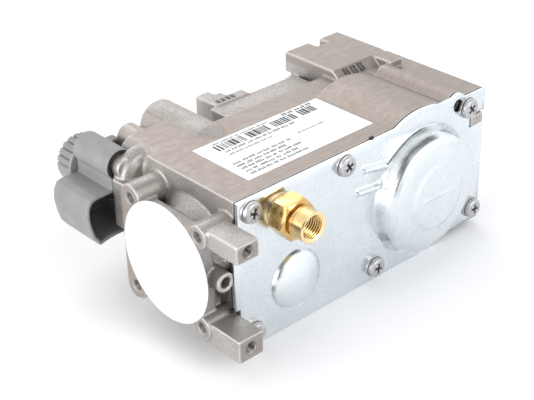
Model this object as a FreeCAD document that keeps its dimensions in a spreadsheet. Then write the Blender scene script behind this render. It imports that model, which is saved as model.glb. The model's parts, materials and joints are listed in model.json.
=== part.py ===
import FreeCAD, Part
import math
import os
import re

import Sketcher

# Combination gas valve: an aluminium casting with a zinc-plated front plate, a servo-operated
# main valve under the large dome, a solenoid safety valve under the small dome, a rotary
# shut-off cock at the rear left, a pressure regulator, a pilot adjuster and a brass pilot fitting.
# Frame: origin at the centre of the inlet port, +X from inlet to outlet, +Y to the back where
# the operators are, +Z up to the side that carries the rating label. Millimetres.

doc = FreeCAD.newDocument("gas_valve")

SIZES = {
    # body casting
    "body_left": 13.0,
    "body_right": 139.6,
    "body_top": 27.4,
    "body_bottom": -32.0,
    "body_front": -21.6,
    "body_back": 24.0,
    "deck_back": 28.0,
    "rear_deck_back": 41.5,
    "rear_deck_round": 7.5,
    "ledge_back": 41.0,
    "slab_front": 23.2,
    "slab_foot": 18.0,
    # ports and their flanges
    "port_radius": 10.5,
    "bolt_pitch": 36.0,
    "tapping_radius": 2.1,
    "tapping_depth": 10.0,
    "outlet_tapping_radius": 2.3,
    "lug_radius": 5.3,
    "front_lug_radius": 4.3,
    "neck_radius": 17.0,
    "flange_thick": 7.0,
    "flange_rear": 23.3,
    "arm_front": -36.0,
    "arm_x": 6.4,
    "arm_upper": 17.8,
    "arm_lower": -19.9,
    "tap_x": 7.2,
    "tap_middle": -0.5,
    "tap_radius": 3.7,
    "tap_bore": 2.1,
    # front plate
    "plate_left": 12.8,
    "plate_step": 10.6,
    "plate_right": 139.6,
    "plate_thick": 1.3,
    "gasket_thick": 0.8,
    "plate_bottom": -32.1,
    "right_bottom": -29.7,
    "bulge_x": 103.5,
    "bulge_middle": -1.2,
    "bulge_radius": 32.0,
    "ear_x": 123.4,
    "ear_middle": 25.3,
    "ear_radius": 4.9,
    "ear_hole": 2.6,
    "screw_shank": 1.7,
    "screw_head": 4.1,
    # main valve and its dome
    "main_x": 103.4,
    "main_middle": -2.2,
    "dome_radius": 25.0,
    "dome_rise": 9.6,
    "main_seat": -10.0,
    "main_seat_radius": 10.0,
    # safety valve and its small dome
    "safety_x": 38.6,
    "safety_middle": -12.7,
    "small_dome_radius": 11.5,
    "small_dome_rise": 4.6,
    "safety_seat": -3.0,
    "safety_seat_radius": 7.0,
    # servo valve
    "servo_x": 86.0,
    "servo_middle": -8.0,
    # regulator, pilot adjuster and shut-off cock
    "regulator_x": 40.4,
    "regulator_middle": 20.8,
    "regulator_radius": 9.0,
    "regulator_back": 53.0,
    "regulator_bore": 6.5,
    "pilot_x": 23.6,
    "pilot_middle": 22.2,
    "pilot_radius": 5.0,
    "pilot_back": 50.0,
    "cock_x": 10.7,
    "cock_middle": 12.8,
    "cock_bore": 4.0,
    "cock_back": 50.0,
    # grey cover and knob
    "cover_front": 34.0,
    "cover_back": 55.0,
    "cover_wall": 1.5,
    "tube_x": 8.6,
    "tube_middle": 21.4,
    "tube_radius": 5.9,
    "knob_front": 55.6,
    "knob_back": 65.0,
    "knob_radius": 9.65,
    # brass pilot fitting
    "fitting_x": 31.2,
    "fitting_middle": 18.1,
    "fitting_end": -40.5,
    "fitting_bore": 4.3,
    "fitting_radius": 5.7,
    "fitting_flats": 14.0,
    # sealing label on the inlet and rating label
    "sticker_radius": 22.6,
    "label_thick": 0.1,
}

sheet = doc.addObject("Spreadsheet::Sheet", "Sizes")
for row, (alias, value) in enumerate(SIZES.items(), start=1):
    sheet.set(f"A{row}", alias)
    sheet.set(f"B{row}", str(value))
    sheet.setAlias(f"B{row}", alias)
doc.recompute()

nodes = []

TURN = {
    "x": FreeCAD.Rotation(FreeCAD.Vector(0, 1, 0), 90),
    "y": FreeCAD.Rotation(FreeCAD.Vector(1, 0, 0), -90),
    "z": FreeCAD.Rotation(),
}


# ---------------------------------------------------------------- building functions

def formula(text):
    """A size formula with each alias pointed at the sheet."""
    return re.sub(
        r"[a-z]\w*",
        lambda word: f"Sizes.{word.group()}" if word.group() in SIZES else word.group(),
        str(text),
    )


def bind(obj, **sizes):
    for name, text in sizes.items():
        obj.setExpression(name, formula(text))


def place(obj, axis, x, y, z):
    """Turns an object's own Z to the named axis and puts its origin at x, y, z."""
    obj.Placement = FreeCAD.Placement(FreeCAD.Vector(), TURN[axis])
    for name, text in zip("xyz", (x, y, z)):
        obj.setExpression(f"Placement.Base.{name}", formula(text))


def node(obj, label):
    """Keeps an object as a sub-part under its node name."""
    obj.Label = label
    nodes.append(obj)
    return obj


def block(x, y, z):
    """A box given by its start and end along each axis."""
    obj = doc.addObject("Part::Box", "Block")
    bind(
        obj,
        Length=f"({x[1]}) - ({x[0]})",
        Width=f"({y[1]}) - ({y[0]})",
        Height=f"({z[1]}) - ({z[0]})",
    )
    place(obj, "z", x[0], y[0], z[0])
    return obj


def rod(axis, centre, start, end, radius, end_radius=None):
    """A cylinder, or a cone when end_radius is given, along x, y or z.

    centre holds the other two coordinates, in the order x, y, z.
    """
    kind = "Part::Cylinder" if end_radius is None else "Part::Cone"
    obj = doc.addObject(kind, "Rod")
    height = f"({end}) - ({start})"
    if end_radius is None:
        bind(obj, Radius=radius, Height=height)
    else:
        bind(obj, Radius1=radius, Radius2=end_radius, Height=height)
    where = list(centre)
    where.insert("xyz".index(axis), start)
    place(obj, axis, *where)
    return obj


def tube(axis, centre, start, end, radius, bore):
    outer = rod(axis, centre, start, end, radius)
    return carve(outer, [rod(axis, centre, f"({start}) - 1", f"({end}) + 1", bore)])


def prism(axis, centre, start, end, flats):
    """A hexagon bar with the given width across flats."""
    obj = doc.addObject("Part::Prism", "Prism")
    obj.Polygon = 6
    bind(obj, Circumradius=f"({flats}) / sqrt(3)", Height=f"({end}) - ({start})")
    where = list(centre)
    where.insert("xyz".index(axis), start)
    place(obj, axis, *where)
    return obj


def wedge(x, front, back, z):
    """A block whose front leans back, from its foot's y to its top edge's y."""
    obj = doc.addObject("Part::Wedge", "Wedge")
    bind(obj, Xmin=x[0], Xmax=x[1], X2min=x[0], X2max=x[1], Ymin=z[0], Ymax=z[1])
    bind(obj, Zmin=f"-({back})", Zmax=f"-({front[0]})", Z2min=f"-({back})", Z2max=f"-({front[1]})")
    upright = FreeCAD.Rotation(FreeCAD.Vector(1, 0, 0), 90)
    obj.Placement = FreeCAD.Placement(FreeCAD.Vector(), upright)
    return obj


def join(parts):
    obj = doc.addObject("Part::MultiFuse", "Join")
    obj.Shapes = parts
    obj.Refine = True
    return obj


def carve(base, tools):
    obj = doc.addObject("Part::Cut", "Carve")
    obj.Base = base
    obj.Tool = join(tools) if len(tools) > 1 else tools[0]
    obj.Refine = True
    return obj


def group(parts):
    """Several separate solids kept as one node."""
    obj = doc.addObject("Part::Compound", "Group")
    obj.Links = parts
    return obj


def plane(body, role):
    return next(p for p in body.Origin.OriginFeatures if p.Role == role)


def outline(body, corners):
    """A closed sketch of straight sides whose corners are bound to their two formulas."""
    sketch = body.newObject("Sketcher::SketchObject", "Outline")
    sketch.AttachmentSupport = (plane(body, "XZ_Plane"), [""])
    sketch.MapMode = "FlatFace"
    count = len(corners)
    spots = [
        FreeCAD.Vector(math.cos(math.tau * i / count), math.sin(math.tau * i / count), 0)
        for i in range(count)
    ]
    for i in range(count):
        sketch.addGeometry(Part.LineSegment(spots[i], spots[(i + 1) % count]), False)
    for i in range(count):
        sketch.addConstraint(Sketcher.Constraint("Coincident", i, 2, (i + 1) % count, 1))
    for i, corner in enumerate(corners):
        for kind, axis, spot, text in zip(
            ("DistanceX", "DistanceY"), (-2, -1), (spots[i].x, spots[i].y), corner
        ):
            if str(text) == "0":
                sketch.addConstraint(Sketcher.Constraint("PointOnObject", i, 1, axis))
            else:
                index = sketch.addConstraint(
                    Sketcher.Constraint(kind, -1, 1, i, 1, spot or 0.1)
                )
                sketch.setExpression(f"Constraints[{index}]", formula(text))
    return sketch


def turned(axis, x, y, z, corners):
    """A body of revolution; corners are (radius, distance along the axis) pairs."""
    body = doc.addObject("PartDesign::Body", "Turned")
    sketch = outline(body, corners)
    turn = body.newObject("PartDesign::Revolution", "Revolution")
    turn.Profile = sketch
    turn.ReferenceAxis = (sketch, ["V_Axis"])
    turn.Angle = 360
    place(body, axis, x, y, z)
    return body


def extruded(y, depth, corners):
    """A prism along Y, from y towards the back; corners are (x, z) pairs."""
    body = doc.addObject("PartDesign::Body", "Extruded")
    sketch = outline(body, corners)
    pad = body.newObject("PartDesign::Pad", "Pad")
    pad.Profile = sketch
    pad.Reversed = True
    bind(pad, Length=depth)
    place(body, "z", 0, y, 0)
    return body


def spring(label, x, y, z, length, radius, wire, turns):
    """A helical compression spring along Y with its first turn at y."""
    pitch = (length - 2 * wire) / turns
    helix = Part.makeLongHelix(pitch, pitch * turns, radius)
    start = FreeCAD.Vector(radius, 0, 0)
    ring = Part.Wire(Part.makeCircle(wire, start, FreeCAD.Vector(0, radius, pitch / math.tau)))
    coil = Part.Wire(helix.Edges).makePipeShell([ring], True, True)
    obj = doc.addObject("Part::Feature", "Spring")
    obj.Shape = coil
    obj.Placement = FreeCAD.Placement(FreeCAD.Vector(x, y + wire, z), TURN["y"])
    return node(obj, label)


def size(alias):
    return float(sheet.get(alias))


MAIN = ("main_x", "main_middle")
SAFETY = ("safety_x", "safety_middle")
SERVO = ("servo_x", "servo_middle")
REGULATOR = ("regulator_x", "regulator_middle")
PILOT = ("pilot_x", "pilot_middle")
COCK = ("cock_x", "cock_middle")
TUBE = ("tube_x", "tube_middle")
FITTING = ("fitting_x", "fitting_middle")
BULGE = ("bulge_x", "bulge_middle")
EAR = ("ear_x", "ear_middle")
COVER_SCREW = ("pilot_x - 2", "1")
TAP = ("tap_x", "tap_middle")
PORT = ("0", "0")
HALF = "bolt_pitch / 2"
CORNERS = [(a, b) for a in (f"-{HALF}", HALF) for b in (f"-{HALF}", HALF)]

# x and z of the six screws of the front plate
PLATE_SCREWS = [
    ("17.9", "23.1"),
    ("62.2", "23.4"),
    ("78.7", "-25.9"),
    ("128.5", "23.0"),
    ("134.5", "-23.0"),
    ("18.2", "-25.2"),
]


# ---------------------------------------------------------------- body casting

def flange_solids():
    """The square inlet flange with a lug round each tapped hole, and its two front arms."""
    solids = [
        rod("x", PORT, 0, "body_left + 1", "neck_radius"),
        block((0, "flange_thick"), (f"-{HALF}", HALF), (f"-{HALF}", HALF)),
        block((0, "flange_thick + 1"), (12, "flange_rear"), (f"-{HALF}", HALF)),
    ]
    solids.append(rod("x", PORT, 8.5, "body_left + 1", "neck_radius", "neck_radius + 4.5"))
    for y, z in CORNERS:
        radius = "front_lug_radius" if y.startswith("-") else "lug_radius"
        solids.append(rod("x", (y, z), 0, "body_left + 1", radius))
    for middle, half, low, high in (
        ("arm_upper", 3.5, 1.5, 11.0),
        ("arm_lower", 4.5, 1.2, 12.0),
    ):
        rise = (f"{middle} - {half}", f"{middle} + {half}")
        solids.append(block((low, high), ("arm_front", -14), rise))
        solids.append(block((low, "body_left + 1"), ("body_front", -14), rise))
    return solids


def rear_left_solids():
    """Deck, cylinders and bosses that hold the regulator, pilot adjuster and cock."""
    centre_x = "body_left + rear_deck_round"
    centre_z = "body_top - rear_deck_round"
    deep = ("body_back - 1", "rear_deck_back")
    return [
        block((centre_x, 46), deep, (2, "body_top")),
        block(("body_left", f"{centre_x} + 1"), deep, (2, centre_z)),
        rod("y", (centre_x, centre_z), *deep, "rear_deck_round"),
        rod("y", PILOT, 36, "pilot_back", "pilot_radius"),
        rod("y", REGULATOR, 23, "regulator_back", "regulator_radius"),
        rod("y", REGULATOR, 16, 23, "regulator_radius - 2.4", "regulator_radius"),
        block((4, "body_left + 1"), (18, 33.6), (-1, 18)),
        rod("y", COCK, "body_back - 1", "cock_back", "cock_bore + 1.3"),
        rod("y", ("9", "21.2"), 30.5, 38, 4.2),
        rod("y", COVER_SCREW, "body_back - 1", "cock_back", 3.2),
    ]


def rear_right_solids():
    """Ledge, stepped block and slab behind the deck, and the tapping boss under the slab."""
    slab = carve(
        join(
            [
                block((103.5, 133.5), ("slab_front", 50), (22.5, 31)),
                block((125.5, 132.5), (13, "slab_front + 1"), (22.5, 31)),
                wedge((103.5, 126), ("slab_foot", "slab_front"), "slab_front + 1", (27, 31)),
            ]
        ),
        [block((116.7, 122.7), (44.8, 51), (22, 32))],
    )
    return [
        block((56, 100), ("deck_back - 1", "ledge_back - 3"), (-26, 24.8)),
        block((56, 100), ("deck_back - 1", "ledge_back"), (4, 24.8)),
        block((58.5, 75.5), (40, 45), (8, 25.4)),
        block((58.5, 68), (44, 48.5), (8, 25.4)),
        block((58.5, 65), (48, 52.6), (8, 25.4)),
        slab,
        block((108, 131), (22, 46), (-24, 23)),
        rod("x", ("44", "19"), 100, 109, 3.6),
    ]


def cavities():
    """Gas ways, valve chambers, bores and tapped holes."""
    front = "body_front - 1"
    tools = [
        rod("x", PORT, -1, 24, "port_radius"),
        block((20, 34), (-2, 10), (-16, 6)),
        rod("y", SAFETY, "safety_seat", 20, 11),
        rod("y", SAFETY, "safety_seat - 4", "safety_seat + 1", "safety_seat_radius"),
        rod("y", SAFETY, front, "safety_seat - 3", 11),
        rod("y", SAFETY, 19, 26, 5),
        block((45, 66), (-18, -9), (-18, -8)),
        block((57, 66), (-18, 8), (-18, -6)),
        block((57, 92), (-4.5, 8), (-16, -4)),
        rod("y", MAIN, "main_seat + 3.5", 12, 14),
        rod("y", MAIN, "main_seat - 1", "main_seat + 4", "main_seat_radius"),
        rod("y", MAIN, front, "main_seat", "dome_radius"),
        block((120, 131), (-18, 6), (-8, 8)),
        rod("x", PORT, 128, "body_right + 1", "port_radius"),
        rod("y", SERVO, 22, "ledge_back", 4),
        rod("y", SERVO, 7, 23, 1.5),
        rod("y", REGULATOR, 26, "regulator_back + 1", "regulator_bore"),
        rod("y", REGULATOR, 8, 27, 1.5),
        rod("z", ("regulator_x", "9"), -5, "regulator_middle", 1.5),
        rod("y", PILOT, 32, "pilot_back + 1", 2.6),
        rod("y", COCK, 27, "cock_back + 1", "cock_bore"),
        rod("y", COVER_SCREW, 40, "cock_back + 1", 1.3),
        rod("y", FITTING, front, -12, "fitting_radius - 1.5"),
        rod("y", EAR, front, 16, "ear_hole"),
        rod("y", TAP, "body_front - 3", -10, "tap_bore"),
        rod("x", ("44", "19"), 99, 106, 2.0),
    ]
    for corner in CORNERS:
        tools.append(rod("x", corner, -1, "tapping_depth", "tapping_radius"))
        deep = ("body_right - tapping_depth", "body_right + 1")
        tools.append(rod("x", corner, *deep, "outlet_tapping_radius"))
    for middle in ("arm_upper", "arm_lower"):
        deep = ("arm_front - 1", "arm_front + tapping_depth")
        tools.append(rod("y", ("arm_x", middle), *deep, "tapping_radius"))
    for spot in PLATE_SCREWS:
        tools.append(rod("y", spot, front, "body_front + 9", "screw_shank"))
    return tools


casting = join(
    [
        block(
            ("body_left", "body_right"),
            ("body_front", "body_back"),
            ("body_bottom", "body_top"),
        ),
        block((46, "body_right"), ("body_back - 1", "deck_back"), (2, "body_top")),
        block((54, "body_right"), ("body_back - 1", "deck_back"), (-30, 3)),
        rod("y", BULGE, "body_front", 17, "bulge_radius"),
        rod("y", EAR, "body_front", 15, "ear_radius"),
        carve(
            rod("y", TAP, "body_front - 1.8", -10, "tap_radius"),
            [block(("plate_step - 0.15", 20), (-30, "body_front"), (-10, 10))],
        ),
        rod("y", TAP, -19, -9, "tap_radius", "tap_radius + 3.5"),
        block((131.6, 138.4), ("body_front - 2.6", "body_front + 1"), (13.6, 18)),
    ]
    + flange_solids()
    + rear_left_solids()
    + rear_right_solids()
)
below = block((60, 150), (-30, 30), (-40, "body_bottom"))
below_right = block((119, 150), (-30, 60), (-40, "right_bottom"))
beside_plate = block(("plate_left - 0.3", "body_left + 1.5"), (-30, "body_front"), (-30, 30))
node(carve(casting, cavities() + [below, below_right, beside_plate]), "valve_body")


# ---------------------------------------------------------------- front plate and gasket

PLATE_BACK = "(body_front - gasket_thick)"
PLATE_FRONT = f"({PLATE_BACK} - plate_thick)"
DOME_SIDES = 6


def plate_holes(start, end, fitting_gap):
    """Clearance for the screws, the pilot fitting, the ear and the casting's locating lug."""
    holes = [rod("y", spot, start, end, "screw_shank + 0.4") for spot in PLATE_SCREWS]
    holes.append(rod("y", FITTING, start, end, f"fitting_radius - 1.5 + {fitting_gap}"))
    holes.append(rod("y", EAR, start, end, "ear_hole"))
    holes.append(block((131.2, 145), (start, end), (13.2, 18.4)))
    return holes


def sheet_blank(start, end, trim):
    """The plate's outline, trimmed back all round: straight sides, bulge, ear and left step."""
    return [
        block(
            (f"plate_left + {trim}", "bulge_x"),
            (start, end),
            (f"plate_bottom + {trim}", f"body_top - {trim}"),
        ),
        block(
            ("bulge_x", f"plate_right - {trim}"),
            (start, end),
            (f"right_bottom + {trim}", f"body_top - {trim}"),
        ),
        block(("plate_step", 14), (start, end), (-14, 12.5)),
        rod("y", BULGE, start, end, f"bulge_radius - {trim}"),
        rod("y", EAR, start, end, f"ear_radius - {trim}"),
    ]


def main_dome():
    """Pressed dome: a straight-sided drum with a sloping shoulder and a stepped flat top."""
    outer = [
        (0, "-dome_rise"),
        (15, "-dome_rise"),
        (16, "1 - dome_rise"),
        (21, "1.6 - dome_rise"),
        (23.6, "3.6 - dome_rise"),
        ("dome_radius", -1.5),
        ("dome_radius + 0.6", 0),
        ("dome_radius + 0.6", "plate_thick"),
    ]
    inner = [
        ("dome_radius - 1", "plate_thick"),
        ("dome_radius - 1.2", -1),
        (22.6, "4.4 - dome_rise"),
        (20.4, "2.9 - dome_rise"),
        (15.5, "2.3 - dome_rise"),
        (14.5, "plate_thick - dome_rise"),
        (0, "plate_thick - dome_rise"),
    ]
    return turned("y", "main_x", PLATE_FRONT, "main_middle", outer + inner)


def small_dome():
    """Shallow bowl-shaped dome that clears the safety valve's guide."""
    outer = [
        (f"small_dome_radius * {i} / {DOME_SIDES}" if i else 0,
         f"-small_dome_rise * (1 - ({i} / {DOME_SIDES}) ^ 2)" if i < DOME_SIDES else 0)
        for i in range(DOME_SIDES + 1)
    ]
    inner = [
        (f"(small_dome_radius - 1.5) * {i} / {DOME_SIDES}" if i else 0,
         f"plate_thick - (small_dome_rise + 0.1) * (1 - ({i} / {DOME_SIDES}) ^ 2)")
        for i in range(DOME_SIDES, -1, -1)
    ]
    rim = [("small_dome_radius", "plate_thick")]
    return turned("y", "safety_x", PLATE_FRONT, "safety_middle", outer + rim + inner)


blank = carve(
    join(sheet_blank(PLATE_FRONT, PLATE_BACK, 0)),
    plate_holes(f"{PLATE_FRONT} - 1", f"{PLATE_BACK} + 1", 0.2)
    + [
        rod("y", MAIN, f"{PLATE_FRONT} - 1", f"{PLATE_BACK} + 1", "dome_radius - 0.5"),
        rod("y", SAFETY, f"{PLATE_FRONT} - 1", f"{PLATE_BACK} + 1", "small_dome_radius - 0.5"),
    ],
)
node(join([blank, main_dome(), small_dome()]), "cover_plate")

node(
    carve(
        join(sheet_blank(PLATE_BACK, "body_front", 0.2)),
        plate_holes(f"{PLATE_BACK} - 1", "body_front + 1", 0.2)
        + [
            rod("y", MAIN, f"{PLATE_BACK} - 1", "body_front + 1", "dome_radius - 1"),
            rod("y", SAFETY, f"{PLATE_BACK} - 1", "body_front + 1", 10.5),
        ],
    ),
    "plate_gasket",
)


def cross_head(axis_point, face, radius, height):
    """Pan head with a cross recess, standing in front of the face at y."""
    x, z = axis_point
    top = f"({face}) - {height}"
    head = join(
        [
            rod("y", axis_point, f"({face}) - {height} / 2", face, radius),
            rod("y", axis_point, top, f"({face}) - {height} / 2", f"{radius} - 0.9", radius),
        ]
    )
    deep = (f"({face}) - {height} - 1", f"({face}) - {height} * 0.45")
    wide, narrow = 2.1, 0.45
    return carve(
        head,
        [
            block((f"({x}) - {a}", f"({x}) + {a}"), deep, (f"({z}) - {b}", f"({z}) + {b}"))
            for a, b in ((wide, narrow), (narrow, wide))
        ],
    )


node(
    group(
        [
            join(
                [
                    cross_head(spot, PLATE_FRONT, "screw_head", 2.4),
                    rod("y", spot, f"{PLATE_FRONT} - 0.5", "body_front + 8", "screw_shank - 0.05"),
                ]
            )
            for spot in PLATE_SCREWS
        ]
    ),
    "plate_screws",
)


# ---------------------------------------------------------------- main valve

main_at = ("main_x", 0, "main_middle")
diaphragm = [
    (3.2, -22.4), (15, -22.4), (16.5, -25), (20, -25), (21.5, -22.4), (23.6, -22.4),
    (23.6, -21.6), (20.9, -21.6), (19.4, -24.2), (17.1, -24.2), (15.6, -21.6), (3.2, -21.6),
]
node(turned("y", *main_at, diaphragm), "main_diaphragm")
node(tube("y", MAIN, -23.5, -22.4, 14, 3.05), "diaphragm_plate_front")
node(tube("y", MAIN, -21.6, -20.5, 14, 3.05), "diaphragm_plate_rear")
node(
    carve(prism("y", MAIN, -25.6, -23.5, 9), [rod("y", MAIN, -27, -22, 3.05)]),
    "diaphragm_nut",
)
stem = [
    (0, -25.8), (3, -25.8), (3, -14.5), (11, -14.5), (11, -13), (2, -13), (2, -8), (0, -8),
]
node(turned("y", *main_at, stem), "main_valve_stem")
node(tube("y", MAIN, -13, "main_seat - 0.1", 12.5, 2.05), "main_valve_disc")
spring("main_valve_spring", size("main_x"), -31.8, size("main_middle"), 8.2, 8.0, 0.6, 4)


# ---------------------------------------------------------------- coils and their valves

def coil_set(name, centre, base, radius, length, bore):
    """Core tube, yoke, bobbin, winding and nut of one coil, standing on the casting at base."""
    x, z = centre
    end = base + length
    core = [
        (bore, base), (bore + 3, base), (bore + 3, base + 1.2), (bore + 0.6, base + 1.2),
        (bore + 0.6, end + 5), (0, end + 5), (0, end + 1), (bore, end + 1),
    ]
    node(turned("y", x, 0, z, core), f"{name}_core_tube")
    reach = radius + 0.4
    half = radius * 0.6
    across = (f"({z}) - {half}", f"({z}) + {half}")
    width = (f"({x}) - {reach}", f"({x}) + {reach} + 1.5")
    clear = rod("y", centre, base, end + 5, bore + 0.7)
    yoke = join(
        [
            block(width, (base + 1.3, base + 2.8), across),
            block(width, (end - 0.5, end + 1), across),
            block((f"({x}) + {reach}", width[1]), (base + 1.3, end + 1), across),
        ]
    )
    node(carve(yoke, [clear]), f"{name}_yoke")
    first, last = base + 2.9, end - 0.6
    bobbin = [
        (bore + 0.8, first), (radius, first), (radius, first + 1), (bore + 1.8, first + 1),
        (bore + 1.8, last - 1), (radius, last - 1), (radius, last), (bore + 0.8, last),
    ]
    node(turned("y", x, 0, z, bobbin), f"{name}_bobbin")
    node(
        tube("y", centre, first + 1.05, last - 1.05, radius - 0.6, bore + 1.85),
        f"{name}_winding",
    )
    nut = prism("y", centre, end + 1.1, end + 3.6, 2 * bore + 6)
    node(carve(nut, [rod("y", centre, end, end + 5, bore + 0.65)]), f"{name}_nut")


coil_set("safety", SAFETY, 24, 12, 26, 4)
coil_set("servo", SERVO, 38, 9.5, 14, 3)

safety_at = ("safety_x", 0, "safety_middle")
carrier = [
    (0, -0.6), (8.4, -0.6), (8.4, 0.7), (2, 0.7), (2, 14.3), (0, 14.3),
]
node(rod("y", SAFETY, "safety_seat + 0.1", -0.6, 9), "safety_valve_disc")
node(turned("y", *safety_at, carrier), "safety_valve_stem")
node(rod("y", SAFETY, 14.3, 47, 3.92), "safety_plunger")
spring("safety_valve_spring", size("safety_x"), 0.8, size("safety_middle"), 19, 6.2, 0.5, 7)

node(rod("y", SERVO, 22.1, 25, 2.4), "servo_valve_seal")
node(rod("y", SERVO, 25, 49, 2.93), "servo_plunger")
spring("servo_plunger_spring", size("servo_x"), 49.1, size("servo_middle"), 3.7, 1.9, 0.3, 3)


# ---------------------------------------------------------------- regulator and pilot adjuster

valve_head = [
    (0, 28.2), (1.2, 28.2), (1.2, 30.5), (5.6, 30.5), (5.6, 31.7), (0, 31.7),
]
node(turned("y", "regulator_x", 0, "regulator_middle", valve_head), "regulator_valve")
spring(
    "regulator_spring", size("regulator_x"), 31.8, size("regulator_middle"), 11, 3.6, 0.45, 6
)


def slot(centre, start, end, reach):
    """A screwdriver slot standing up across the centre."""
    x, z = centre
    width = (f"({x}) - 0.6", f"({x}) + 0.6")
    return block(width, (start, end), (f"({z}) - {reach}", f"({z}) + {reach}"))


node(
    carve(rod("y", REGULATOR, 43, 48, "regulator_bore - 0.08"), [slot(REGULATOR, 46, 49, 5)]),
    "regulator_screw",
)
node(
    carve(
        rod("y", REGULATOR, 50, "regulator_back + 0.2", "regulator_bore - 0.05"),
        [slot(REGULATOR, 51.7, 54, 4.5)],
    ),
    "regulator_cap",
)
needle = [
    (0, 33), (0.4, 33), (1.6, 36), (2.52, 36), (2.52, 48.8), (0, 48.8),
]
node(
    carve(turned("y", "pilot_x", 0, "pilot_middle", needle), [slot(PILOT, 47.6, 50, 2.2)]),
    "pilot_screw",
)


# ---------------------------------------------------------------- shut-off cock, knob and cover

node(
    carve(
        rod("y", COCK, 28, 40, "cock_bore - 0.08"),
        [rod("z", ("cock_x", 34), "cock_middle - 6", "cock_middle + 6", 1.6)],
    ),
    "cock_plug",
)
spring("cock_spring", size("cock_x"), 40.3, size("cock_middle"), 4.4, 3.0, 0.4, 3)
node(tube("y", COCK, 45, "cock_back", "cock_bore - 0.03", 2.0), "cock_bush")
node(rod("y", COCK, 40, "knob_back - 3", 1.92), "knob_spindle")

GRIP_STEP = 18
GRIP_START = 64
GRIP_GROOVES = [k for k in range(20) if k not in (7, 8)]


def grip_groove(k):
    """One of the grooves along the knob's grip; the plain stretch between them is the pointer."""
    angle = GRIP_START + GRIP_STEP * k
    centre = (
        f"cock_x + (knob_radius + 0.6) * cos({angle})",
        f"cock_middle + (knob_radius + 0.6) * sin({angle})",
    )
    return rod("y", centre, "knob_front + 1", "knob_back + 1", 1.3)


grip = [
    (0, "knob_front"), ("knob_radius - 0.6", "knob_front"), ("knob_radius", "knob_front + 0.6"),
    ("knob_radius", "knob_back - 1"), ("knob_radius - 1", "knob_back"), (0, "knob_back"),
]
node(
    carve(
        turned("y", "cock_x", 0, "cock_middle", grip),
        [grip_groove(k) for k in GRIP_GROOVES]
        + [rod("y", COCK, "knob_front - 1", "knob_back - 2.9", 1.95)],
    ),
    "control_knob",
)

HOOD_MIDDLE = (2.5, 3.4)
HOOD = [
    (-3.2, 13), (12.6, 13), (12.6, -5.6), (2.1, -6), (-3.1, -7.1),
    (-5.7, -3.6), (-7.1, 1.5), (-7.7, 5.9), (-7.3, 9.5), (-5.9, 12.2),
]


def inset(corners, middle, share):
    """Corners moved towards a middle point by a share of their distance."""
    return [tuple(m + (c - m) * share for c, m in zip(corner, middle)) for corner in corners]


INSIDE = "cover_back - cover_wall"
hood_depth = "cover_back - cover_front"
shell = join(
    [
        extruded("cover_front", hood_depth, HOOD),
        rod("y", TUBE, "cover_front", "cover_back", "tube_radius"),
        block((3.9, 12.6), ("cover_front", "cover_back"), (0, 20)),
        block((5, 26), ("pilot_back + 0.5", "cover_back"), (-5, 22)),
    ]
)
hollow = [
    extruded("cover_front - 1", f"{hood_depth} + 1 - cover_wall", inset(HOOD, HOOD_MIDDLE, 0.86)),
    rod("y", TUBE, "cover_front - 1", INSIDE, "tube_radius - 1.1"),
    block((5.2, 13), ("cover_front - 1", INSIDE), (1, 19)),
    block((6.5, 24.5), ("pilot_back - 1", INSIDE), (-3.5, 20.5)),
    block((12.6, 30), ("cover_front - 1", "pilot_back + 0.5"), (-10, 30)),
    rod("y", PILOT, "cover_front", "cover_back + 1", 3.2),
    rod("y", COCK, INSIDE, "cover_back + 1", 2.3),
    rod("y", COVER_SCREW, INSIDE, "cover_back + 1", 1.6),
]
node(carve(shell, hollow), "operator_cover")
node(
    join(
        [
            rod("y", COVER_SCREW, 41, "cover_back", 1.25),
            rod("y", COVER_SCREW, "cover_back", "cover_back + 1.8", 2.9),
        ]
    ),
    "operator_cover_screw",
)


# ---------------------------------------------------------------- pilot fitting, screen, labels

fitting = join(
    [
        rod("y", FITTING, "fitting_end", -34.6, "fitting_radius"),
        rod("y", FITTING, -34.6, -33.6, "fitting_radius - 0.6"),
        prism("y", FITTING, -33.6, -26.4, "fitting_flats"),
        rod("y", FITTING, -26.4, -24.3, "fitting_radius - 0.2"),
        rod("y", FITTING, -24.3, -13, "fitting_radius - 1.55"),
    ]
)
node(
    carve(
        fitting,
        [
            rod("y", FITTING, "fitting_end - 1", "fitting_end + 9", "fitting_bore"),
            rod("y", FITTING, "fitting_end + 8", -12, 2),
        ],
    ),
    "pilot_fitting",
)
node(
    tube("y", FITTING, -24.3, PLATE_FRONT, "fitting_radius + 0.4", "fitting_radius - 1.5"),
    "fitting_washer",
)
node(
    join(
        [
            tube("x", PORT, 2, 4, "port_radius - 0.05", "port_radius - 1"),
            rod("x", PORT, 2.8, 3.2, "port_radius - 0.5"),
        ]
    ),
    "inlet_screen",
)
node(rod("x", PORT, -0.15, 0, "sticker_radius"), "inlet_sticker")
node(rod("x", PORT, "body_right", "body_right + 0.15", "sticker_radius"), "outlet_sticker")
node(
    block((26.3, 87), (-14.2, 15.4), ("body_top", "body_top + label_thick")),
    "rating_label",
)
node(rod("y", TAP, -14, -10.2, "tap_bore - 0.05"), "inlet_tap_screw")
node(rod("x", ("44", "19"), 103, 105.8, 1.95), "side_tap_screw")


# ---------------------------------------------------------------- checks and export

doc.recompute()
faults = [obj.Name for obj in doc.Objects if {"Invalid", "Error"} & set(obj.State)]
if faults:
    raise RuntimeError(f"objects failed to compute: {faults}")
for obj in nodes:
    if obj.Shape.isNull() or not obj.Shape.isValid() or not obj.Shape.Solids:
        raise RuntimeError(f"{obj.Label} has no valid shape")

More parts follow.
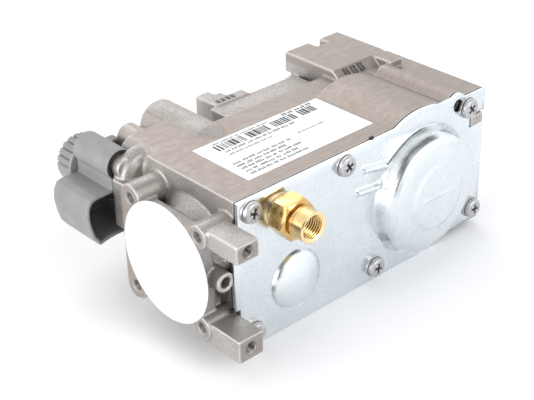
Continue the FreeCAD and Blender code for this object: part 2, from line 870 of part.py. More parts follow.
os.makedirs("parts", exist_ok=True)
for obj in nodes:
    obj.Shape.exportStep(f"parts/{obj.Label}.step")
    box = obj.Shape.BoundBox
    print(
        f"{obj.Label:24s} {len(obj.Shape.Solids)} solid(s) {obj.Shape.Volume:10.1f} mm3"
        f"  x {box.XMin:7.2f} {box.XMax:7.2f}  y {box.YMin:7.2f} {box.YMax:7.2f}"
        f"  z {box.ZMin:7.2f} {box.ZMax:7.2f}"
    )
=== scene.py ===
import json
import math
import random

import bmesh
import bpy
from mathutils import Matrix, Vector
from mathutils.geometry import delaunay_2d_cdt


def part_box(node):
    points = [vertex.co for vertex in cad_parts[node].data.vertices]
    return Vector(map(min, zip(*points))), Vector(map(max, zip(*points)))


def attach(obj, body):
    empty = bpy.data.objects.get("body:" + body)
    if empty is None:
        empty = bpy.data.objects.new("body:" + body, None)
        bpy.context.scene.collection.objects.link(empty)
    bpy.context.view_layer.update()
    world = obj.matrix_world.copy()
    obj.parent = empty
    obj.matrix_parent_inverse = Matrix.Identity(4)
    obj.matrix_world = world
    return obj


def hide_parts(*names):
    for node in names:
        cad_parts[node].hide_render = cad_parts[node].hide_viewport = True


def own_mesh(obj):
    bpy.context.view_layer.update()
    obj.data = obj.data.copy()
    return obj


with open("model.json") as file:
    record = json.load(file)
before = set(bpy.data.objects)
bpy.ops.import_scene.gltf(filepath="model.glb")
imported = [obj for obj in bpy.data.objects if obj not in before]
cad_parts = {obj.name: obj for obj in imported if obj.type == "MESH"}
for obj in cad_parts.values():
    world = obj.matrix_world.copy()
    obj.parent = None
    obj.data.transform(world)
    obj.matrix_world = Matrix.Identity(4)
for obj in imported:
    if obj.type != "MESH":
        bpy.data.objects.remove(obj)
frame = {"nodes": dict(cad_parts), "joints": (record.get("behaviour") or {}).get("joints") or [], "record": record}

# A combination gas valve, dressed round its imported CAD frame. Shapes are written in
# millimetres and scaled to metres when a piece is made. X runs from the inlet into the body,
# -Y is the front with the domed plate, +Y the back with the knob, Z is up.

MM = 0.001
TURN = math.tau
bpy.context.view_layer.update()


def corners(node):
    """Lowest and highest corner of a CAD node, in millimetres."""
    low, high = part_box(node)
    return low / MM, high / MM


DECK = corners("rating_label")[0].z


# ---------------------------------------------------------------- materials

class Surface:
    """A procedural material: a Principled shader and the nodes that feed it."""

    def __init__(self, name, metallic=0.0, roughness=0.5, **sockets):
        self.material = bpy.data.materials.new(name)
        self.material.use_nodes = True
        self.tree = self.material.node_tree
        self.shader = self.tree.nodes["Principled BSDF"]
        self.shader.inputs["Metallic"].default_value = metallic
        self.shader.inputs["Roughness"].default_value = roughness
        for key, value in sockets.items():
            self.shader.inputs[key.replace("_", " ")].default_value = value
        self.place = self.node("ShaderNodeTexCoord").outputs["Object"]
        self.height = None

    def node(self, kind, **settings):
        made = self.tree.nodes.new(kind)
        for key, value in settings.items():
            if key in made.inputs:
                made.inputs[key].default_value = value
            else:
                setattr(made, key, value)
        return made

    def link(self, source, target):
        self.tree.links.new(source, target)

    def noise(self, grain, detail=2.0, stretch=(1, 1, 1)):
        """Noise whose features are about grain millimetres across."""
        scaled = self.node("ShaderNodeMapping")
        scaled.inputs["Scale"].default_value = [s / (grain * MM) for s in stretch]
        self.link(self.place, scaled.inputs["Vector"])
        made = self.node("ShaderNodeTexNoise", Scale=1.0, Detail=detail)
        self.link(scaled.outputs["Vector"], made.inputs["Vector"])
        return made.outputs["Fac"]

    def ramp(self, factor, *stops):
        """A colour ramp through (place, colour or grey) stops."""
        made = self.node("ShaderNodeValToRGB")
        elements = made.color_ramp.elements
        while len(elements) < len(stops):
            elements.new(0.5)
        for element, (spot, colour) in zip(elements, stops):
            element.position = spot
            if not isinstance(colour, tuple):
                colour = (colour, colour, colour)
            element.color = (*colour, 1)
        self.link(factor, made.inputs["Fac"])
        return made.outputs["Color"]

    def mix(self, factor, first, second, blend="MIX"):
        made = self.node("ShaderNodeMix", data_type="RGBA", blend_type=blend)
        for socket, value in zip((made.inputs[0], made.inputs[6], made.inputs[7]),
                                 (factor, first, second)):
            if isinstance(value, bpy.types.NodeSocket):
                self.link(value, socket)
            elif isinstance(value, tuple):
                socket.default_value = (*value, 1)
            else:
                socket.default_value = value
        return made.outputs[2]

    def colour(self, source):
        self.link(source, self.shader.inputs["Base Color"])

    def rough(self, factor, low, high):
        made = self.node("ShaderNodeMapRange")
        made.inputs["To Min"].default_value = low
        made.inputs["To Max"].default_value = high
        made.inputs["From Min"].default_value = 0.3
        made.inputs["From Max"].default_value = 0.7
        self.link(factor, made.inputs["Value"])
        self.link(made.outputs["Result"], self.shader.inputs["Roughness"])

    def bump(self, factor, depth, strength=1.0):
        """Adds a relief of depth millimetres on top of what is there."""
        made = self.node("ShaderNodeBump", Strength=strength, Distance=depth * MM)
        self.link(factor, made.inputs["Height"])
        if self.height is not None:
            self.link(self.height, made.inputs["Normal"])
        self.height = made.outputs["Normal"]
        self.link(self.height, self.shader.inputs["Normal"])

    def band(self, axis, low, high):
        """1 between two levels, in millimetres along an axis, and 0 elsewhere."""
        parts = self.node("ShaderNodeSeparateXYZ")
        self.link(self.place, parts.inputs[0])
        made = self.node("ShaderNodeMath", operation="COMPARE")
        self.link(parts.outputs[axis], made.inputs[0])
        made.inputs[1].default_value = (low + high) / 2 * MM
        made.inputs[2].default_value = (high - low) / 2 * MM
        return made.outputs[0]

    def edges(self, low=0.5, high=0.56):
        """0 on flats and hollows, 1 on sharp edges, where materials paint a lighter colour."""
        shape = self.node("ShaderNodeNewGeometry").outputs["Pointiness"]
        return self.ramp(shape, (low, 0.0), (high, 1.0))


def cast_alloy():
    """Sandy cast skin, with smoother faces where the casting was milled flat."""
    made = Surface("cast_alloy", metallic=0.8, roughness=0.5)
    clouds = made.noise(14, 4)
    speckle = made.noise(0.5, 3)
    streaks = made.noise(1.2, 3, (0.12, 1, 1))
    skin = made.ramp(clouds, (0.3, (0.345, 0.32, 0.30)), (0.7, (0.43, 0.405, 0.385)))
    grains = made.ramp(speckle, (0.3, 0.78), (0.5, 1.0), (0.68, 1.24))
    sandy = made.mix(1.0, skin, grains, "MULTIPLY")
    flat = made.ramp(streaks, (0.3, (0.315, 0.275, 0.245)), (0.7, (0.36, 0.32, 0.29)))
    milled = made.band("Z", DECK - 0.25, DECK + 0.25)
    right = made.mix(1.0, made.band("Z", DECK, 31.4), made.band("X", 52, 145), "DARKEN")
    flange = made.band("X", -0.2, 0.15)
    arms = made.band("Y", -36.2, -35.85)
    for zone in (right, flange, arms):
        milled = made.mix(1.0, milled, zone, "LIGHTEN")
    tone = made.mix(milled, sandy, flat)
    # sharp edges painted lighter: partly edge wear, partly a painted highlight along the edges
    made.colour(made.mix(made.edges(0.51, 0.57), tone, (0.66, 0.64, 0.63)))
    made.rough(made.noise(3, 3), 0.42, 0.56)
    made.bump(speckle, 0.08, 0.5)
    made.bump(made.noise(6, 3), 0.04, 0.4)
    return made.material


def machined_alloy_painted_shade():
    made = Surface("machined_alloy_painted_shade", metallic=0.9, roughness=0.35)
    lines = made.noise(0.5, 2, (1, 0.08, 1))
    # painted shade: this dark colour stands in for the shade inside the tapped holes; the fine lines are the
    # alloy's own
    made.colour(made.ramp(lines, (0.3, (0.17, 0.165, 0.16)), (0.7, (0.31, 0.30, 0.29))))
    made.rough(lines, 0.25, 0.4)
    made.bump(lines, 0.03, 0.5)
    return made.material


def zinc_plate():
    made = Surface("zinc_plate", metallic=1.0, roughness=0.2)
    clouds = made.noise(16, 3)
    fine = made.noise(1.2, 3)
    tint = made.ramp(clouds, (0.3, (0.71, 0.765, 0.79)), (0.7, (0.78, 0.82, 0.84)))
    grains = made.ramp(fine, (0.35, 0.95), (0.65, 1.0))
    made.colour(made.mix(1.0, tint, grains, "MULTIPLY"))
    made.rough(made.noise(6, 4), 0.2, 0.32)
    made.bump(made.noise(9, 2), 0.025, 0.5)
    made.bump(made.noise(0.7, 2), 0.005, 0.6)
    return made.material


def screw_steel():
    made = Surface("screw_steel", metallic=0.85, roughness=0.42)
    spots = made.noise(0.6, 3)
    tone = made.ramp(spots, (0.3, (0.16, 0.16, 0.17)), (0.7, (0.28, 0.28, 0.29)))
    made.colour(made.mix(made.edges(), tone, (0.66, 0.66, 0.67)))
    made.rough(spots, 0.34, 0.5)
    made.bump(spots, 0.03, 0.6)
    return made.material


def turned_steel():
    made = Surface("turned_steel", metallic=1.0, roughness=0.3)
    lines = made.noise(0.4, 2, (0.1, 1, 0.1))
    made.colour(made.ramp(lines, (0.3, (0.50, 0.50, 0.52)), (0.7, (0.66, 0.66, 0.68))))
    made.rough(lines, 0.24, 0.4)
    made.bump(lines, 0.02, 0.5)
    return made.material


def brass():
    made = Surface("brass", metallic=1.0, roughness=0.22)
    clouds = made.noise(3, 3)
    lines = made.noise(0.3, 2, (0.1, 1, 0.1))
    tone = made.ramp(clouds, (0.3, (0.55, 0.35, 0.12)), (0.7, (0.72, 0.50, 0.21)))
    made.colour(made.mix(made.edges(0.52, 0.62), tone, (0.88, 0.70, 0.40)))
    made.rough(clouds, 0.16, 0.3)
    made.bump(lines, 0.015, 0.5)
    return made.material


def grey_plastic():
    made = Surface("grey_plastic", roughness=0.48, Specular_IOR_Level=0.4)
    clouds = made.noise(9, 3)
    grain = made.noise(0.35, 2)
    tone = made.ramp(clouds, (0.3, (0.20, 0.205, 0.20)), (0.7, (0.25, 0.255, 0.248)))
    made.colour(made.mix(made.edges(0.5, 0.6), tone, (0.33, 0.335, 0.325)))
    made.rough(grain, 0.42, 0.55)
    made.bump(grain, 0.02, 0.6)
    return made.material


def moulded(name, dark, light, roughness=0.5):
    made = Surface(name, roughness=roughness)
    clouds = made.noise(5, 3)
    grain = made.noise(0.3, 2)
    made.colour(made.ramp(clouds, (0.3, dark), (0.7, light)))
    made.rough(grain, roughness - 0.08, roughness + 0.08)
    made.bump(grain, 0.02, 0.6)
    return made.material


def copper_winding():
    made = Surface("copper_winding", metallic=0.7, roughness=0.35)
    turns = made.node("ShaderNodeTexWave", wave_type="BANDS", bands_direction="Y", Scale=400.0)
    made.link(made.place, turns.inputs["Vector"])
    made.colour(made.ramp(turns.outputs["Fac"], (0.1, (0.20, 0.05, 0.02)), (0.8, (0.62, 0.26, 0.11))))
    made.bump(turns.outputs["Fac"], 0.1, 0.8)
    return made.material


def white_film():
    made = Surface("white_film", roughness=0.4)
    clouds = made.noise(18, 2)
    made.colour(made.ramp(clouds, (0.3, (0.62, 0.62, 0.645)), (0.7, (0.66, 0.66, 0.68))))
    made.rough(clouds, 0.36, 0.46)
    made.bump(made.noise(12, 2), 0.05, 0.4)
    return made.material


def label_paper():
    made = Surface("label_paper", roughness=0.45)
    fibres = made.noise(0.5, 4)
    made.colour(made.ramp(fibres, (0.3, (0.80, 0.81, 0.82)), (0.7, (0.86, 0.87, 0.88))))
    made.rough(made.noise(8, 2), 0.4, 0.52)
    made.bump(fibres, 0.01, 0.5)
    return made.material


CAST = cast_alloy()
MACHINED_PAINTED_SHADE = machined_alloy_painted_shade()
ZINC = zinc_plate()
SCREW = screw_steel()
STEEL = turned_steel()
BRASS = brass()
PLASTIC = grey_plastic()
RUBBER = moulded("black_rubber", (0.008, 0.008, 0.008), (0.02, 0.02, 0.02), 0.6)
BOBBIN = moulded("black_plastic", (0.012, 0.012, 0.014), (0.03, 0.03, 0.033), 0.4)
INK = moulded("label_ink", (0.02, 0.02, 0.022), (0.05, 0.05, 0.055), 0.5)
COPPER = copper_winding()
FILM = white_film()
PAPER = label_paper()

SLOT_MATERIALS = {
    "cast_alloy": CAST,
    "zinc_plate": ZINC,
    "gasket": RUBBER,
    "screw_steel": SCREW,
    "steel": STEEL,
    "spring_steel": STEEL,
    "rubber_parts": RUBBER,
    "coil_plastic": BOBBIN,
    "winding_tape": COPPER,
    "grey_plastic": PLASTIC,
    "brass": BRASS,
    "screen_mesh": STEEL,
    "white_film": FILM,
    "printed_label": PAPER,
}

for part in frame["record"]["subparts"]:
    mesh = frame["nodes"][part["node"]].data
    mesh.materials.clear()
    mesh.materials.append(SLOT_MATERIALS[part["material_slot"]])


# ---------------------------------------------------------------- building pieces

def turn_point(axis, centre, radius, angle, along):
    """A point on a circle about an axis; centre holds the other two coordinates."""
    spot = [centre[0] + radius * math.cos(angle), centre[1] + radius * math.sin(angle)]
    spot.insert("xyz".index(axis), along)
    return Vector(spot)


def lathe(bm, axis, centre, profile, segments=72, ripple=None):
    """Turns a (radius, distance) profile; ripple(angle, distance) scales the radius."""
    rings = []
    for radius, along in profile:
        if radius == 0:
            rings.append([bm.verts.new(turn_point(axis, centre, 0, 0, along))])
            continue
        ring = []
        for k in range(segments):
            angle = TURN * k / segments
            reach = radius * (ripple(angle, along) if ripple else 1)
            ring.append(bm.verts.new(turn_point(axis, centre, reach, angle, along)))
        rings.append(ring)
    for first, second in zip(rings, rings[1:]):
        for k in range(segments):
            n = (k + 1) % segments
            loop = [first[k % len(first)], first[n % len(first)],
                    second[n % len(second)], second[k % len(second)]]
            unique = [v for i, v in enumerate(loop) if v not in loop[:i]]
            if len(unique) > 2:
                bm.faces.new(unique)


def box(bm, x, y, z):
    """A box from its (start, end) along each axis."""
    size = [b - a for a, b in (x, y, z)]
    middle = [(a + b) / 2 for a, b in (x, y, z)]
    bmesh.ops.create_cube(
        bm, size=1, matrix=Matrix.Translation(middle) @ Matrix.Diagonal((*size, 1))
    )


def prism(bm, axis, points, start, end):
    """An outline of two-coordinate points, extruded along an axis from start to end."""
    def spot(point, along):
        place = list(point)
        place.insert("xyz".index(axis), along)
        return bm.verts.new(place)
    low = [spot(p, start) for p in points]
    high = [spot(p, end) for p in points]
    bm.faces.new(low)
    bm.faces.new(high[::-1])
    for k in range(len(points)):
        n = (k + 1) % len(points)
        bm.faces.new((low[n], low[k], high[k], high[n]))


def arc(centre, radius, start, end, steps):
    """Points round an arc, from start to end degrees."""
    angles = [math.radians(start + (end - start) * k / steps) for k in range(steps + 1)]
    return [(centre[0] + radius * math.cos(a), centre[1] + radius * math.sin(a)) for a in angles]


def to_object(name, bm, smooth_angle=35):
    """A mesh object in metres from a bmesh in millimetres."""
    bmesh.ops.recalc_face_normals(bm, faces=bm.faces)
    bm.transform(Matrix.Scale(MM, 4))
    mesh = bpy.data.meshes.new(name)
    bm.to_mesh(mesh)
    bm.free()
    obj = bpy.data.objects.new(name, mesh)
    bpy.context.scene.collection.objects.link(obj)
    soften(obj, smooth_angle)
    return obj


def soften(obj, smooth_angle):
    """Smooth shading that keeps edges sharper than smooth_angle degrees."""
    obj.data.polygons.foreach_set("use_smooth", [True] * len(obj.data.polygons))
    obj.data.set_sharp_from_angle(angle=math.radians(smooth_angle))


def bake(obj):
    """Turns an object's modifiers into its mesh."""
    view = bpy.context.evaluated_depsgraph_get()
    mesh = bpy.data.meshes.new_from_object(obj.evaluated_get(view))
    obj.modifiers.clear()
    obj.data = mesh


def modify(obj, kind, **settings):
    """Adds a modifier, to be baked later."""
    made = obj.modifiers.new(kind.lower(), kind)
    for key, value in settings.items():
        setattr(made, key, value)


def carve(obj, tool):
    """Cuts a tool object out of obj and removes the tool."""
    modify(obj, "BOOLEAN", operation="DIFFERENCE", object=tool, solver="EXACT")
    bake(obj)
    bpy.data.objects.remove(tool)


def copy_node(node, name):
    """A free copy of a CAD node, to be shaped into a piece."""
    obj = frame["nodes"][node].copy()
    obj.data = frame["nodes"][node].data.copy()
    obj.name = name
    obj.parent = None
    obj.matrix_world = Matrix.Identity(4)
    bpy.context.scene.collection.objects.link(obj)
    return obj


def finish_piece(obj, material, body="housing", replaces=()):
    """Gives a piece its material and its body, and hides the CAD parts it replaces."""
    obj.data.materials.clear()
    obj.data.materials.append(material)
    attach(obj, body)
    if replaces:
        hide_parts(*replaces)
    return obj


# ---------------------------------------------------------------- shared places

# places seen from the front or back are (x, z), those on the flange are (y, z)
BODY_LOW = corners("valve_body")[0]
PLATE_RIGHT = corners("cover_plate")[1].x
GASKET_LOW, GASKET_HIGH = corners("plate_gasket")
PLATE_BACK = GASKET_LOW.y
PLATE_THICK = 1.3
PLATE_FRONT = PLATE_BACK - PLATE_THICK
BODY_FRONT = GASKET_HIGH.y
MAIN = (103.4, -2.2)
SAFETY = (38.6, -12.7)
FITTING = (31.2, 18.1)
EAR = (123.4, 25.3)
BULGE = (103.5, -1.2)
BULGE_RADIUS = 32
KNOB = (10.7, 12.8)
TUBE = (8.6, 21.4)
FLANK = (14.7, 17.2)
PLATE_SCREWS = [
    (17.9, 23.1), (62.2, 23.4), (78.7, -25.9), (128.5, 23.0), (134.5, -23.0), (18.2, -25.2)
]
FLANGE_HOLES = [(y, z) for y in (-18, 18) for z in (-18, 18)]
ARM_HOLES = [(6.4, 17.8), (6.4, -19.9)]
TAPPING_RADIUS = 2.2
EAR_RADIUS = 4.9
EAR_HOLE = 2.6
FITTING_HOLE = 4.6
MAIN_DISC = 13
MAIN_RADIUS = 26
SAFETY_RADIUS = 11.5
SAFETY_RISE = 4.6
NUT_FLATS = 14
NUT_FRONT, NUT_BACK = -33.6, -26.4
NECK_END = -24.4


# ---------------------------------------------------------------- cast body

def cast_body():
    """The casting with rounded edges and fillets: the CAD solid and the rounded flank beside
    the cover's tube, remeshed as one and smoothed."""
    obj = copy_node("valve_body", "casting")
    flank = bmesh.new()
    lathe(
        flank, "y", FLANK,
        [(0, 26.5), (6, 27.3), (8.7, 29), (9.7, 31.5), (9.9, 33.8), (0, 33.8)],
    )
    flank.transform(Matrix.Scale(MM, 4))
    bmesh.ops.recalc_face_normals(flank, faces=flank.faces)
    flank.from_mesh(obj.data)
    flank.to_mesh(obj.data)
    flank.free()
    modify(obj, "REMESH", mode="VOXEL", voxel_size=0.42 * MM)
    modify(obj, "SMOOTH", factor=0.5, iterations=5)
    bake(obj)
    soften(obj, 60)
    finish_piece(obj, CAST, replaces=["valve_body"])


cast_body()


# ---------------------------------------------------------------- front plate

def plate_outline():
    """The plate's outer edge, clockwise from the top left: straight runs, bulge and ear arcs."""
    left, right, tongue = 12.8, PLATE_RIGHT, 10.6
    top, bottom, right_bottom = 27.4, -32.1, -29.7
    tongue_top, tongue_bottom = 12.5, -14
    notch, notch_top, notch_bottom = 131.2, 18.4, 13.2

    def meet(centre, radius, level):
        """Angle in degrees at which a circle reaches a level."""
        return math.degrees(math.asin((level - centre[1]) / radius))

    rise = meet(BULGE, BULGE_RADIUS, top)
    drop = meet(BULGE, BULGE_RADIUS, bottom)
    ear = meet(EAR, EAR_RADIUS, top)
    points = [(left, top)]
    points += arc(BULGE, BULGE_RADIUS, 180 - rise, 72, 24)
    points += arc(EAR, EAR_RADIUS, 125, ear, 10)
    points += [
        (right, top), (right, notch_top), (notch, notch_top),
        (notch, notch_bottom), (right, notch_bottom), (right, right_bottom),
    ]
    points += arc(BULGE, BULGE_RADIUS, meet(BULGE, BULGE_RADIUS, right_bottom), -180 - drop, 14)
    points += [
        (left, bottom), (left, tongue_bottom), (tongue, tongue_bottom),
        (tongue, tongue_top), (left, tongue_top),
    ]
    return points


def smooth_step(value):
    """Eases from 0 to 1 as value goes from 0 to 1."""
    value = min(1, max(0, value))
    return value * value * (3 - 2 * value)


# the large dome as (radius, height): raised disc, shoulder, flank and the groove round it
MAIN_PROFILE = [
    (0, 9.6), (12.9, 9.6), (13.3, 9.05), (13.8, 8.85), (17.0, 8.75), (19.4, 8.4), (21.2, 7.7),
    (22.7, 6.4), (23.8, 4.6), (24.5, 2.6), (24.9, 0.9), (25.3, 0.0), (25.7, -0.3), (26.1, 0.0),
    (27, 0.0),
]


def profile_height(profile, radius):
    """Height at a radius, read off the straight lines of a profile."""
    for (r0, h0), (r1, h1) in zip(profile, profile[1:]):
        if radius <= r1:
            return h0 + (h1 - h0) * (radius - r0) / (r1 - r0)
    return 0.0


def ridge(x, z, start, end, width, height):
    """A rounded pressed rib from start to end, seen from the front."""
    ax, az = start
    bx, bz = end
    length = math.hypot(bx - ax, bz - az)
    along = ((x - ax) * (bx - ax) + (z - az) * (bz - az)) / length ** 2
    along = min(1, max(0, along))
    away = math.hypot(x - ax - along * (bx - ax), z - az - along * (bz - az))
    return height * smooth_step(1 - away / width)


def plate_rise(x, z):
    """How far the pressed plate stands in front of its flat."""
    main = math.hypot(x - MAIN[0], z - MAIN[1])
    rise = profile_height(MAIN_PROFILE, main)
    small = math.hypot(x - SAFETY[0], z - SAFETY[1])
    if small < SAFETY_RADIUS:
        rise = SAFETY_RISE * (1 - (small / SAFETY_RADIUS) ** 2) ** 0.6
    if main < MAIN_DISC:
        rise += ridge(x, z, (94.6, -1.4), (113.0, -1.6), 1.0, 0.3)
    if 63 < x < 84 and main > 24:
        rise = max(rise, ridge(x, z, (69.5, 9.3), (80.5, 8.0), 1.9, 1.9))
        rise = max(rise, ridge(x, z, (72.5, 17.5), (83.0, 15.5), 1.9, 1.9))
    return rise


def plate_points():
    """Inner points for the plate's mesh: rings on the domes, a fine grid on the ribs and a
    coarse one on the flat."""
    points = []
    fine, coarse = 0.45, 3.2

    def rings(centre, radii, segments):
        for radius in radii:
            for k in range(segments):
                angle = TURN * k / segments
                points.append(
                    (centre[0] + radius * math.cos(angle), centre[1] + radius * math.sin(angle))
                )

    rings(MAIN, [r * 0.8 for r in range(1, 27)], 120)
    rings(MAIN, [21.2 + 0.3 * k for k in range(18)], 180)
    rings(SAFETY, [0.55 * k for k in range(1, 21)], 72)
    rings(SAFETY, [SAFETY_RADIUS, SAFETY_RADIUS + 0.3], 96)
    for i in range(40):
        for k in range(36):
            x, z = 66 + i * fine, 5 + k * fine
            if math.dist((x, z), MAIN) > MAIN_RADIUS + 0.5:
                points.append((x, z))
    for i in range(40):
        for k in range(18):
            x, z = 15 + i * coarse, -30 + k * coarse
            off_domes = (math.dist((x, z), MAIN) > MAIN_RADIUS + 2
                         and math.dist((x, z), SAFETY) > SAFETY_RADIUS + 1.5)
            on_ribs = 65 < x < 85 and 4 < z < 22
            if off_domes and not on_ribs and x < 138:
                points.append((x, z))
    return points


def inward(points, distance):
    """A closed clockwise outline moved inwards."""
    moved = []
    count = len(points)
    for k in range(count):
        before, here, after = (Vector(points[(k + j) % count]) for j in (-1, 0, 1))
        first = (here - before).normalized()
        second = (after - here).normalized()
        normal = Vector((first.y, -first.x)) + Vector((second.y, -second.x))
        scale = distance / max(0.3, 1 + first.dot(second))
        moved.append(tuple(here + normal * scale))
    return moved


def inside(point, outline):
    """Whether a point lies within a closed outline."""
    x, z = point
    odd = False
    for (x0, z0), (x1, z1) in zip(outline, outline[1:] + outline[:1]):
        if (z0 > z) != (z1 > z) and x < x0 + (z - z0) / (z1 - z0) * (x1 - x0):
            odd = not odd
    return odd


def cover_plate():
    """The zinc-plated pressing: a fine sheet with domes and ribs, given its thickness."""
    edge = plate_outline()
    lip = inward(edge, 0.3)
    holes = [arc(EAR, EAR_HOLE, 360, 15, 23), arc(FITTING, FITTING_HOLE, 360, 15, 23)]
    loops = [edge, lip] + holes
    verts = []
    edges = []
    for loop in loops:
        first = len(verts)
        verts += [Vector(p) for p in loop]
        edges += [(first + k, first + (k + 1) % len(loop)) for k in range(len(loop))]
    core = inward(edge, 0.6)
    verts += [
        Vector(p) for p in plate_points()
        if inside(p, core) and math.dist(p, EAR) > 3 and math.dist(p, FITTING) > 5
    ]
    flat, _, faces, origins, _, _ = delaunay_2d_cdt(verts, edges, [], 2, 1e-4)
    bm = bmesh.new()
    rim = range(len(edge))
    made = []
    for place, origin in zip(flat, origins):
        drop = 0.25 if any(k in rim for k in origin) else 0
        level = PLATE_FRONT - plate_rise(place.x, place.y) + drop
        made.append(bm.verts.new((place.x, level, place.y)))
    for face in faces:
        middle = sum((flat[k] for k in face), Vector((0, 0))) / len(face)
        off_ear = (middle - Vector(EAR)).length > EAR_HOLE
        off_fitting = (middle - Vector(FITTING)).length > FITTING_HOLE
        if off_ear and off_fitting:
            bm.faces.new([made[k] for k in face])
    front = list(bm.faces)
    copied = bmesh.ops.extrude_face_region(bm, geom=front)["geom"]
    moved = [v for v in copied if isinstance(v, bmesh.types.BMVert)]
    for vert in moved:
        vert.co.y = min(vert.co.y + PLATE_THICK, PLATE_BACK)
    obj = to_object("front_plate", bm, 50)
    finish_piece(obj, ZINC, replaces=["cover_plate"])


cover_plate()


def gasket_tabs():
    """Ends of the black gasket that show past the plate's edge."""
    bm = bmesh.new()
    box(bm, (76.9, 78.6), (GASKET_LOW.y, BODY_FRONT), (27.0, 28.1))
    box(bm, (9.8, 10.8), (GASKET_LOW.y, BODY_FRONT), (-1.8, 0.2))
    box(bm, (9.8, 10.8), (GASKET_LOW.y, BODY_FRONT), (-14.7, -13.2))
    finish_piece(to_object("gasket_tabs", bm), RUBBER)


gasket_tabs()


# ---------------------------------------------------------------- plate screws

def recess_arm(centre, face, turn):
    """One tapered bar of a cross recess, sunk into a screw head from its face."""
    long, wide, deep = 2.5, 0.5, 1.5
    bm = bmesh.new()
    outline = [(-long, -wide), (long, -wide), (long, wide), (-long, wide)]
    prism(bm, "y", outline, face - 1, face + deep)
    for vert in bm.verts:
        if vert.co.y > face:
            vert.co.x *= 0.45
        vert.co.rotate(Matrix.Rotation(math.radians(turn), 3, "Y"))
    bm.transform(Matrix.Translation((centre[0], 0, centre[1])))
    return bm


def plate_screw(index, centre):
    """Pan head on a thin collar, with a cross recess turned differently on each screw."""
    head = 2.9
    face = PLATE_FRONT - head
    bm = bmesh.new()
    lathe(
        bm, "y", centre,
        [(0, face), (2.9, face), (3.45, face + 0.18), (3.8, face + 0.6), (3.9, face + 1.1),
         (3.9, face + 1.75), (3.6, face + 1.85), (3.6, face + 2.0), (4.15, face + 2.08),
         (4.2, face + 2.2), (4.2, PLATE_FRONT - 0.1), (4.1, PLATE_FRONT), (0, PLATE_FRONT)],
        64,
    )
    obj = to_object(f"plate_screw_{index}", bm, 40)
    for quarter in (0, 90):
        turn = 17 + 41 * index + quarter
        carve(obj, to_object("recess", recess_arm(centre, face, turn), 30))
    soften(obj, 40)
    return obj


def plate_screws():
    """The six screw heads; together they stand in for the CAD node."""
    heads = [plate_screw(k, centre) for k, centre in enumerate(PLATE_SCREWS)]
    for head in heads:
        finish_piece(head, SCREW)
    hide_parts("plate_screws")


plate_screws()


# ---------------------------------------------------------------- brass pilot fitting

def thread(radius, crest, pitch, start, end):
    """A zigzag thread profile between start and end, from radius in to crest."""
    points = []
    turns = int(abs(end - start) / pitch)
    step = pitch if end > start else -pitch
    for k in range(turns):
        points += [(radius, start + step * k), (crest, start + step * (k + 0.5))]
    return points


def pilot_fitting():
    """The brass fitting: a turned barrel with an internal thread, and a bevelled hexagon."""
    end = corners("pilot_fitting")[0].y
    barrel, inner, crest, pitch, thread_end = 5.7, 4.8, 4.1, 1.0, end + 11
    bm = bmesh.new()
    outer = [
        (inner, end), (5.4, end), (barrel, end + 0.35), (barrel, -35.5), (5.45, -35.35),
        (5.45, -35.1), (barrel, -34.95), (barrel, -34.4), (5.1, -34.2), (5.1, -33.7),
        (5.5, NUT_FRONT),
    ]
    neck = [
        (5.5, -26.5), (5.5, -26.2), (5.1, -26.0), (5.1, -25.7), (5.9, -25.5), (5.9, NECK_END),
        (0, NECK_END),
    ]
    bore = thread(inner, crest, pitch, end, thread_end)
    bore += [(crest, thread_end), (2.2, end + 12.4), (2.0, end + 13), (0, end + 13)]
    lathe(bm, "y", FITTING, bore[::-1] + outer + neck, 96)
    obj = to_object("pilot_fitting_turned", bm, 35)
    finish_piece(obj, BRASS, replaces=["pilot_fitting"])
    nut = bmesh.new()
    first_corner = 8
    outline = arc(FITTING, NUT_FLATS / math.sqrt(3), first_corner, first_corner + 300, 5)
    prism(nut, "y", outline, NUT_FRONT, NUT_BACK)
    hexagon = to_object("pilot_fitting_hexagon", nut, 30)
    cone = bmesh.new()
    lathe(
        cone, "y", FITTING,
        [(0, NUT_FRONT), (6.7, NUT_FRONT), (8.2, -32.5), (8.2, -27), (7.2, NUT_BACK),
         (0, NUT_BACK)],
        96,
    )
    keep = to_object("keep", cone, 30)
    modify(hexagon, "BOOLEAN", operation="INTERSECT", object=keep, solver="EXACT")
    modify(hexagon, "BEVEL", width=0.3 * MM, segments=3, limit_method="ANGLE")
    bake(hexagon)
    bpy.data.objects.remove(keep)
    soften(hexagon, 40)
    finish_piece(hexagon, BRASS)


pilot_fitting()


# ---------------------------------------------------------------- tapped holes

def tapping(name, axis, centre, mouth, deep, radius):
    """A threaded liner with a chamfered mouth, closed at its deep end."""
    pitch, crest, chamfer = 0.8, 0.38, 0.35
    step = 1 if deep > mouth else -1
    bm = bmesh.new()
    profile = [(radius + 0.45, mouth + 0.02 * step), (radius + 0.3, mouth - 0.03 * step)]
    profile += [(radius, mouth + chamfer * step)]
    for k in range(int(abs(deep - mouth) / pitch)):
        along = mouth + step * (chamfer + pitch * k)
        profile += [(radius, along), (radius - crest, along + pitch / 2 * step)]
    profile += [(radius - crest, deep), (0, deep)]
    lathe(bm, axis, centre, profile, 48)
    obj = to_object(name, bm, 30)
    # the liner takes the dark machined colour, which paints the shade inside the hole
    finish_piece(obj, MACHINED_PAINTED_SHADE)


for k, spot in enumerate(FLANGE_HOLES):
    tapping(f"flange_tapping_{k}", "x", spot, 0.0, 9.5, TAPPING_RADIUS)
for k, spot in enumerate(ARM_HOLES):
    tapping(f"arm_tapping_{k}", "y", spot, BODY_LOW.y, -26.5, TAPPING_RADIUS)


# ---------------------------------------------------------------- cast marks

